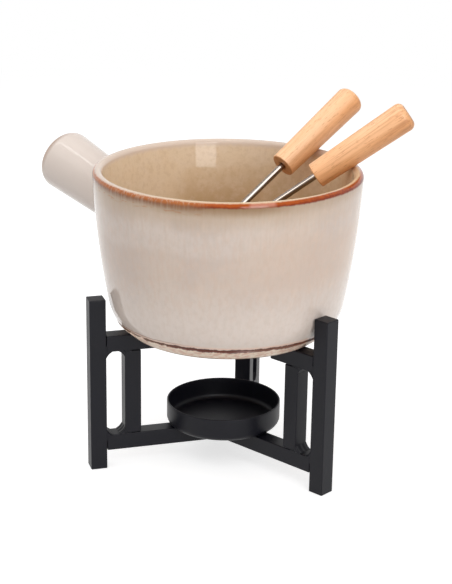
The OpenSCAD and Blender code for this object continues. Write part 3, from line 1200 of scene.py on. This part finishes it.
# %% Mix the steel
STEEL_DARK = colour(134, 124, 116)
STEEL_LIGHT = colour(154, 144, 136)
STEEL_ROUGHNESS = (0.08, 0.13)
LINE_DEPTH = 0.001 * MM


def polished_steel():
    mix = Finish("polished steel")
    lines = mix.noise((3200, 3200, 40))
    mix.wire("Base Color", mix.blend(lines, STEEL_DARK, STEEL_LIGHT))
    mix.wire("Roughness", mix.between(lines, *STEEL_ROUGHNESS))
    mix.even("Metallic", 1.0)
    mix.bump(lines, LINE_DEPTH)
    return mix.material


steel = polished_steel()
print("finish:", steel.name)

# %% [markdown]
# ## Where each fork lies
# A fork pulls out along its own shaft, so the joint's axis is also the fork's axis. A
# second point is needed, and the grip gives it: it is round, so the middle of its spread
# in any direction across the axis is on the axis. The tines give the last thing that is
# missing, the turn about the shaft, because they are what reaches furthest from it.

# %% Find the forks
def fork_place(number):
    """The fork's own frame: Z along it from tines to grip, X across its tines, zero where
    the wood starts. Also gives the grip's length and the shaft's reach below the wood."""
    joint = next(j for j in frame["joints"] if j["name"] == f"fork_{number}_pull")
    along = Vector(joint["axis"]).normalized()
    grip = [v.co for v in frame["nodes"][f"fork_handle_{number}"].data.vertices]
    wire = [v.co for v in frame["nodes"][f"fork_shaft_{number}"].data.vertices]
    across = along.orthogonal().normalized()
    other = along.cross(across)
    start = min(p.dot(along) for p in grip)
    length = max(p.dot(along) for p in grip) - start
    middle = along * start
    for way in (across, other):
        spread = [p.dot(way) for p in grip]
        middle = middle + way * (min(spread) + max(spread)) / 2
    reach = start - min(p.dot(along) for p in wire)
    strays = [(p - middle) - along * (p - middle).dot(along) for p in wire]
    tines = max(strays, key=lambda stray: stray.length).normalized()
    turn = Matrix((tines, along.cross(tines), along)).transposed().to_4x4()
    return Matrix.Translation(middle) @ turn, length, reach


places = {number: fork_place(number) for number in (1, 2)}
for number, (place, length, reach) in places.items():
    print("fork", number, "is", round((length + reach) / MM, 1), "mm long")

# %% [markdown]
# ## Fork grips
# A grip is a slightly tapered cylinder with a well-rounded outer end, an eased inner edge
# and a countersunk hole that the shaft goes into. All of it is turned, so it is one
# profile: from the bottom of the hole, out over the inner end, along the grip and back to
# the axis.

# %% Make the grips
GRIP_INNER = 7.8 * MM
GRIP_OUTER = 8.95 * MM
GRIP_ROUND = 4 * MM
GRIP_EASE = 0.8 * MM
HOLE_RADIUS = 2.6 * MM
HOLE_DEPTH = 3 * MM
GRIP_STEP = 1.5 * MM
GRIP_TURNS = 96
# The round end starts a little past square, and the taper goes on up to there.
END_STARTS = 2
# The place of each grip in the board, and how strong its growth lines and flecks are.
WOODS = {1: ((0.3, 1.7, 0.2), 0.36, 0.7), 2: ((4.1, 2.3, 1.9), 0.6, 0.8)}


def grip_profile(length):
    corners = [(0, HOLE_DEPTH), (HOLE_RADIUS, HOLE_DEPTH), (HOLE_RADIUS, 0),
               (GRIP_INNER, 0), (GRIP_OUTER, length - GRIP_ROUND)]
    line = eased(corners[1:], GRIP_EASE)[:-1]
    end_at = (GRIP_OUTER - GRIP_ROUND, length - GRIP_ROUND)
    round_end = arc(end_at, GRIP_ROUND, END_STARTS, 90, 14)
    return in_steps([corners[0]] + line + round_end + [(0, length)], GRIP_STEP)


grips = []
for number, (place, length, reach) in places.items():
    shift, lines, flecks = WOODS[number]
    finish = beech(f"beech_{number}", shift, lines, flecks, length)
    points, faces = carried_round(grip_profile(length), GRIP_TURNS)
    grips.append(set_piece(f"fork_{number}_grip", points, faces, finish, f"fork_{number}",
                           [f"fork_handle_{number}"], place))
print("grips:", len(grips))

# %% [markdown]
# ## Shafts and tines
# Below the wood a fork is wire. The shaft ends on a bow of thinner wire, bent to a U, and
# the two arms of the bow are the tines, ground to points.
# A wire is a ring carried along a line. The U lies in one plane, so the plane's normal is
# square to the wire everywhere, and the ring never twists.

# %% A wire along a line
WIRE_STEP = 1 * MM


def wire_along(corners, turns=24):
    """A closed wire along a line of (x, z, radius) in the XZ plane."""
    line = in_steps(corners, WIRE_STEP)
    points, faces = [], []
    for i, (x, z, radius) in enumerate(line):
        before, after = line[max(i - 1, 0)], line[min(i + 1, len(line) - 1)]
        way = Vector((after[0] - before[0], after[1] - before[1])).normalized()
        for turn in range(turns):
            angle = 2 * math.pi * turn / turns
            side = radius * math.cos(angle)
            points.append((x + way.y * side, radius * math.sin(angle), z - way.x * side))
    for i in range(len(line) - 1):
        for turn in range(turns):
            after = (turn + 1) % turns
            low, high = i * turns, (i + 1) * turns
            faces.append([low + turn, low + after, high + after, high + turn])
    faces.append(list(range(turns)))
    faces.append([(len(line) - 1) * turns + turn for turn in range(turns)])
    return points, faces


print("a millimetre of wire has", len(wire_along([(0, 0, MM), (0, MM, MM)])[0]), "points")

# %% The lines of the tines and the shaft
SHAFT_RADIUS = 2 * MM
TINE_RADIUS = 1.1 * MM
TINE_SPREAD = 4.5 * MM
TINE_LENGTH = 24 * MM
TINE_POINT = 6 * MM
TIP_RADIUS = 0.12 * MM
TIP_ROUND = 0.3 * MM
SWAGE_RADII = (0.8 * MM, 1.6 * MM)
SWAGE_SUNK = 0.8 * MM
SWAGE_LENGTH = 1.6 * MM
SHAFT_IN_WOOD = 30 * MM


def bow_line(reach):
    """The U of the tines, from one point, over the bow, to the other."""
    bend = -(reach - TINE_LENGTH)
    arm = [(-reach, TIP_RADIUS), (-reach + TIP_ROUND, TIP_ROUND),
           (-reach + TINE_POINT, TINE_RADIUS)]
    right = [(TINE_SPREAD, z, radius) for z, radius in arm]
    over = [(x, z, TINE_RADIUS) for x, z in arc((0, bend), TINE_SPREAD, 0, 180, 24)]
    left = [(-TINE_SPREAD, z, radius) for z, radius in reversed(arm)]
    return right + over + left


def shaft_line(reach):
    """The shaft, from its swaged end in the bow to inside the wood."""
    crown = -(reach - TINE_LENGTH) + TINE_SPREAD
    swage = [(0, crown - SWAGE_SUNK, SWAGE_RADII[0]), (0, crown, SWAGE_RADII[1]),
             (0, crown + SWAGE_LENGTH, SHAFT_RADIUS)]
    return swage + [(0, SHAFT_IN_WOOD, SHAFT_RADIUS)]


print("the tines are", round(2 * TINE_SPREAD / MM, 1), "mm apart, from middle to middle")

# %% Make the shafts
shafts = []
for number, (place, length, reach) in places.items():
    points, faces = joined([wire_along(bow_line(reach)), wire_along(shaft_line(reach))])
    shafts.append(set_piece(f"fork_{number}_steel", points, faces, steel, f"fork_{number}",
                            [f"fork_shaft_{number}"], place))
print("shafts:", len(shafts))

# %% [markdown]
# ## The studio
# A product of this kind is lit by large soft panels in a white room. The room's own light
# is even and comes from everywhere, a little more from the right. Panels add the shape.
# The background is white to the eye, and glaze and steel mirror the same white. But a room
# that lit the set at that strength would wash its colours out. Blender can tell rays apart,
# so floor and room are full white only to rays that show the background: straight from the
# camera, off gloss, and through glass. Rays that carry light on to the set find a darker
# room. Near the set the floor adds its glow to the light that falls on it, which keeps the
# shadow, and further off it fades to plain white, so that no horizon shows.

# %% Rays that show the background
BACKGROUND_RAYS = ("Is Camera Ray", "Is Glossy Ray", "Is Transmission Ray")
WHITE = (1, 1, 1, 1)


def shows_background(mix):
    """1 for the rays that show the background, and 0 for those that only carry light."""
    share = 0.0
    for ray in BACKGROUND_RAYS:
        share = mix.math("MAXIMUM", share, mix.add("ShaderNodeLightPath", {}, ray))
    return share


print("kinds of rays that show the background:", len(BACKGROUND_RAYS))

# %% Finish of the floor
FLOOR_PALE = 0.72
FLOOR_ROUGHNESS = 0.9
FLOOR_GLOW = 0.62
WHITE_FROM = 0.6
WHITE_AT = 1.3


def pale_floor():
    """Matt and pale near the set, and plain white from WHITE_AT metres away."""
    mix = Finish("pale floor")
    mix.even("Base Color", (FLOOR_PALE, FLOOR_PALE, FLOOR_PALE, 1))
    mix.even("Roughness", FLOOR_ROUGHNESS)
    mix.even("Specular IOR Level", 0.0)
    shown = shows_background(mix)
    glow_strength = mix.share(shown, FLOOR_GLOW)
    glow = mix.add("ShaderNodeEmission", {"Color": WHITE, "Strength": glow_strength})
    lit = mix.add("ShaderNodeAddShader", {0: mix.shader.outputs[0], 1: glow})
    place = mix.add("ShaderNodeNewGeometry", {}, "Position")
    away = mix.add("ShaderNodeVectorMath", {0: place}, "Value", operation="LENGTH")
    far = mix.share(mix.fade(away, WHITE_FROM, WHITE_AT), shown)
    plain = mix.add("ShaderNodeEmission", {"Color": WHITE, "Strength": 1.0})
    both = mix.add("ShaderNodeMixShader", {0: far, 1: lit, 2: plain})
    mix.tree.links.new(both, mix.tree.nodes["Material Output"].inputs["Surface"])
    return mix.material


floor_finish = pale_floor()
print("finish:", floor_finish.name)

# %% Floor
FLOOR_WIDTH = 8.0
FLOOR_BELOW = 0.1 * MM

floor_mesh = bpy.data.meshes.new("floor")
floor_points = [(FLOOR_WIDTH * x, FLOOR_WIDTH * y, 0) for x, y in SQUARE]
floor_mesh.from_pydata(floor_points, [], [(0, 1, 2, 3)])
floor_mesh.materials.append(floor_finish)
floor = bpy.data.objects.new("floor", floor_mesh)
floor.location.z = -FLOOR_BELOW
studio.collection.objects.link(floor)
print("floor", FLOOR_WIDTH, "m wide")

# %% Room
ROOM_LEFT = 0.34
ROOM_RIGHT = 0.50
ROOM_SOFT = 0.8

room = bpy.data.worlds.new("room")
room.use_nodes = True
studio.world = room
air = Recipe(room.node_tree)
way = air.add("ShaderNodeTexCoord", {}, "Generated")
light = air.between(air.fade(air.part(way, 0), -ROOM_SOFT, ROOM_SOFT), ROOM_LEFT, ROOM_RIGHT)
background = room.node_tree.nodes["Background"]
background.inputs["Color"].default_value = WHITE
strength = air.between(shows_background(air), light, 1.0)
room.node_tree.links.new(strength, background.inputs["Strength"])
print("room light:", ROOM_LEFT, "to", ROOM_RIGHT)

# %% [markdown]
# ## Lamps
# Every lamp is a soft panel. Light does two things on a surface: it brings out the colour,
# and it shows as a reflection. A real studio keeps the two apart with flags, and here a
# panel simply adds to one, to the other, or to both.
# A wide panel and a narrow strip hang over the set on the handle's side, for the sheen
# along the rails. The pot is lit from in front, from above and from the right, by panels
# that leave no reflection in the glaze. What shows most there is a bright window inside
# the bowl, and a strip that draws one streak along the stub handle.
# Polished steel shows nothing but reflections, and wood hardly any. So the shafts have two
# panels of their own that add gloss, and the grips have two that bring out the grain.

# %% A soft panel
LOOK_AT = Vector((0, 0, 0.13))


def panel(name, around, above, distance, size, brightness, lights="all", only=()):
    """A soft panel seen from the set at two angles, in degrees, and as bright as said. It
    adds to "all", or just to the "colour" or the "gloss", and may light some pieces only."""
    turn, rise = math.radians(around), math.radians(above)
    flat = math.cos(rise)
    way = Vector((math.cos(turn) * flat, math.sin(turn) * flat, math.sin(rise)))
    light = bpy.data.lights.new(name, "AREA")
    light.shape = "RECTANGLE"
    light.size, light.size_y = size
    light.energy = brightness * math.pi * size[0] * size[1]
    lamp = bpy.data.objects.new(name, light)
    lamp.location = LOOK_AT + way * distance
    lamp.rotation_euler = way.to_track_quat("Z", "Y").to_euler()
    lamp.visible_diffuse = lights != "gloss"
    lamp.visible_glossy = lights != "colour"
    studio.collection.objects.link(lamp)
    if only:
        receivers = bpy.data.collections.new(name)
        for piece in only:
            receivers.objects.link(piece)
        lamp.light_linking.receiver_collection = receivers


print("panels look at a point", round(LOOK_AT.z / MM), "mm above the table")

# %% Lamps
not_forks = [thing for thing in studio.collection.objects
             if thing.type == "MESH" and thing not in grips + shafts]
not_shafts = not_forks + grips
# Each panel: its angle round the set and above the table, its distance, its sides in
# metres, its brightness, what its light adds to, and which pieces it lights, if not all.
panel("overhead", 177, 66, 1.8, (2.0, 2.0), 0.9, "all", not_shafts)
panel("overhead_strip", 177, 66, 1.3, (0.04, 1.2), 4.5)
panel("stub_strip", 177, 66, 1.3, (0.16, 1.2), 3.5, "gloss", [stub])
panel("front_overhead", -85, 50, 1.5, (1.5, 0.7), 1.8, "colour")
panel("window", -55, 22, 1.5, (0.55, 0.95), 5.4, "gloss")
panel("front_right", -42, 22, 1.5, (0.8, 0.95), 2.1, "colour", not_forks)
panel("right", 5, 25, 1.5, (0.9, 0.9), 0.9, "colour", not_forks)
panel("shaft_key", -58, 58, 1.5, (0.8, 1.2), 4.5, "gloss", shafts)
panel("shaft_left", -126, 38, 1.5, (0.8, 0.5), 4.0, "gloss", shafts)
panel("grip_key", -88, 52, 1.5, (1.2, 1.0), 2.3, "all", grips)
panel("grip_fill", -20, 2, 1.5, (0.9, 0.9), 0.6, "colour", grips)

# %% [markdown]
